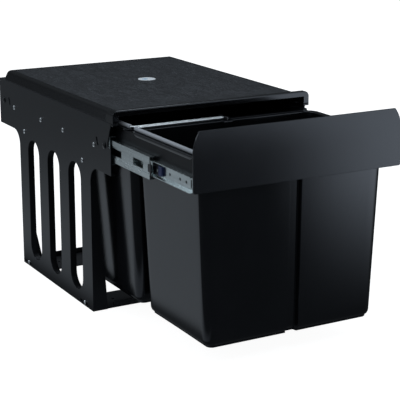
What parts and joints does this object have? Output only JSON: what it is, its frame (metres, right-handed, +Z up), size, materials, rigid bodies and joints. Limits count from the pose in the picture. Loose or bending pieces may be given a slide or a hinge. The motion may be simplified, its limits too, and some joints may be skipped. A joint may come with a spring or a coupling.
{
  "type": "pull-out cabinet waste bin",
  "caption": "Pull-out kitchen waste unit: slotted steel side panels, moulded hood, telescopic slides, drawer frame with fascia, and tapered bins with wire bails.",
  "frame": {"origin": "centre of the four base screw holes, on the cabinet floor", "axes": "+X to the unit's right seen from the front, +Y into the cabinet, +Z up; the drawer opens towards -Y and stands 247 mm open at rest"},
  "size_m": [0.361, 0.7408, 0.3635],
  "materials": {
    "panel_paint": "fine textured black powder coat",
    "drawer_paint": "satin black powder coat",
    "fascia_paint": "satin black powder coat",
    "hood_plastic": "moulded grain, semi matt",
    "bin_plastic": "smooth moulded polypropylene",
    "plug_plastic": "smooth moulded",
    "bumper_plastic": "smooth moulded",
    "lever_plastic": "smooth moulded",
    "zinc_rail": "bright zinc plate on rolled steel",
    "zinc_screw": "bright zinc plate",
    "ball_steel": "bright steel",
    "wire_zinc": "zinc plated wire",
    "sleeve_plastic": "light grey sleeve"
  },
  "bodies": {
    "frame": {"left_side_panel": "panel_paint", "right_side_panel": "panel_paint", "front_base_plate": "panel_paint", "rear_base_plate": "panel_paint", "rear_cross_bar": "panel_paint", "hood": "hood_plastic", "panel_plugs": "plug_plastic", "rail_screws": "zinc_screw", "foot_screws": "zinc_screw", "bar_screws": "zinc_screw", "left_outer_rail": "zinc_rail", "right_outer_rail": "zinc_rail"},
    "drawer": {"left_drawer_rail": "drawer_paint", "right_drawer_rail": "drawer_paint", "front_cross_member": "drawer_paint", "middle_cross_member": "drawer_paint", "rear_cross_member": "drawer_paint", "drawer_screws": "zinc_screw", "fascia_screws": "zinc_screw", "fascia": "fascia_paint", "left_inner_rail": "zinc_rail", "right_inner_rail": "zinc_rail"},
    "left_middle": {"left_middle_rail": "zinc_rail", "left_rail_bumper": "bumper_plastic"},
    "right_middle": {"right_middle_rail": "zinc_rail", "right_rail_bumper": "bumper_plastic"},
    "left_outer_ball_cage": {"left_outer_cage": "ball_steel", "left_outer_balls": "ball_steel"},
    "right_outer_ball_cage": {"right_outer_cage": "ball_steel", "right_outer_balls": "ball_steel"},
    "left_inner_ball_cage": {"left_inner_cage": "ball_steel", "left_inner_balls": "ball_steel"},
    "right_inner_ball_cage": {"right_inner_cage": "ball_steel", "right_inner_balls": "ball_steel"},
    "front_bin_body": {"front_bin": "bin_plastic", "front_bail_pivots": "bin_plastic"},
    "rear_bin_body": {"rear_bin": "bin_plastic", "rear_bail_pivots": "bin_plastic"},
    "front_bail": {"front_bail_wire": "wire_zinc", "front_bail_sleeve": "sleeve_plastic"},
    "rear_bail": {"rear_bail_wire": "wire_zinc", "rear_bail_sleeve": "sleeve_plastic"},
    "left_lever": {"left_release_lever": "lever_plastic"},
    "right_lever": {"right_release_lever": "lever_plastic"}
  },
  "joints": [
    {"name": "drawer_slide", "type": "slide", "parent": "frame", "child": "drawer", "axis": [0, -1, 0], "range_m": [-0.247, 0.203]},
    {"name": "left_middle_slide", "type": "slide", "parent": "frame", "child": "left_middle", "axis": [0, -1, 0], "range_m": [-0.1235, 0.1015]},
    {"name": "right_middle_slide", "type": "slide", "parent": "frame", "child": "right_middle", "axis": [0, -1, 0], "range_m": [-0.1235, 0.1015]},
    {"name": "left_outer_cage_slide", "type": "slide", "parent": "frame", "child": "left_outer_ball_cage", "axis": [0, -1, 0], "range_m": [-0.06175, 0.05075]},
    {"name": "right_outer_cage_slide", "type": "slide", "parent": "frame", "child": "right_outer_ball_cage", "axis": [0, -1, 0], "range_m": [-0.06175, 0.05075]},
    {"name": "left_inner_cage_slide", "type": "slide", "parent": "frame", "child": "left_inner_ball_cage", "axis": [0, -1, 0], "range_m": [-0.18525, 0.15225]},
    {"name": "right_inner_cage_slide", "type": "slide", "parent": "frame", "child": "right_inner_ball_cage", "axis": [0, -1, 0], "range_m": [-0.18525, 0.15225]},
    {"name": "front_bin_lift", "type": "slide", "parent": "drawer", "child": "front_bin_body", "axis": [0, 0, 1], "range_m": [0, 0.003]},
    {"name": "rear_bin_lift", "type": "slide", "parent": "drawer", "child": "rear_bin_body", "axis": [0, 0, 1], "range_m": [0, 0.003]},
    {"name": "front_bail_swing", "type": "hinge", "parent": "front_bin_body", "child": "front_bail", "pos_m": [0, -0.378, 0.3269], "axis": [0, 1, 0], "range_deg": [0, 180]},
    {"name": "rear_bail_swing", "type": "hinge", "parent": "rear_bin_body", "child": "rear_bail", "pos_m": [0, -0.159, 0.3269], "axis": [0, 1, 0], "range_deg": [0, 1.5]},
    {"name": "left_lever_turn", "type": "hinge", "parent": "drawer", "child": "left_lever", "pos_m": [-0.167, -0.36999, 0.284], "axis": [1, 0, 0], "range_deg": [-4, 4]},
    {"name": "right_lever_turn", "type": "hinge", "parent": "drawer", "child": "right_lever", "pos_m": [0.167, -0.36999, 0.284], "axis": [1, 0, 0], "range_deg": [-4, 4]}
  ],
  "couplings": [
    {"joint": "left_middle_slide", "follows": "drawer_slide", "ratio": 0.5},
    {"joint": "right_middle_slide", "follows": "drawer_slide", "ratio": 0.5},
    {"joint": "left_outer_cage_slide", "follows": "drawer_slide", "ratio": 0.25},
    {"joint": "right_outer_cage_slide", "follows": "drawer_slide", "ratio": 0.25},
    {"joint": "left_inner_cage_slide", "follows": "drawer_slide", "ratio": 0.75},
    {"joint": "right_inner_cage_slide", "follows": "drawer_slide", "ratio": 0.75}
  ]
}
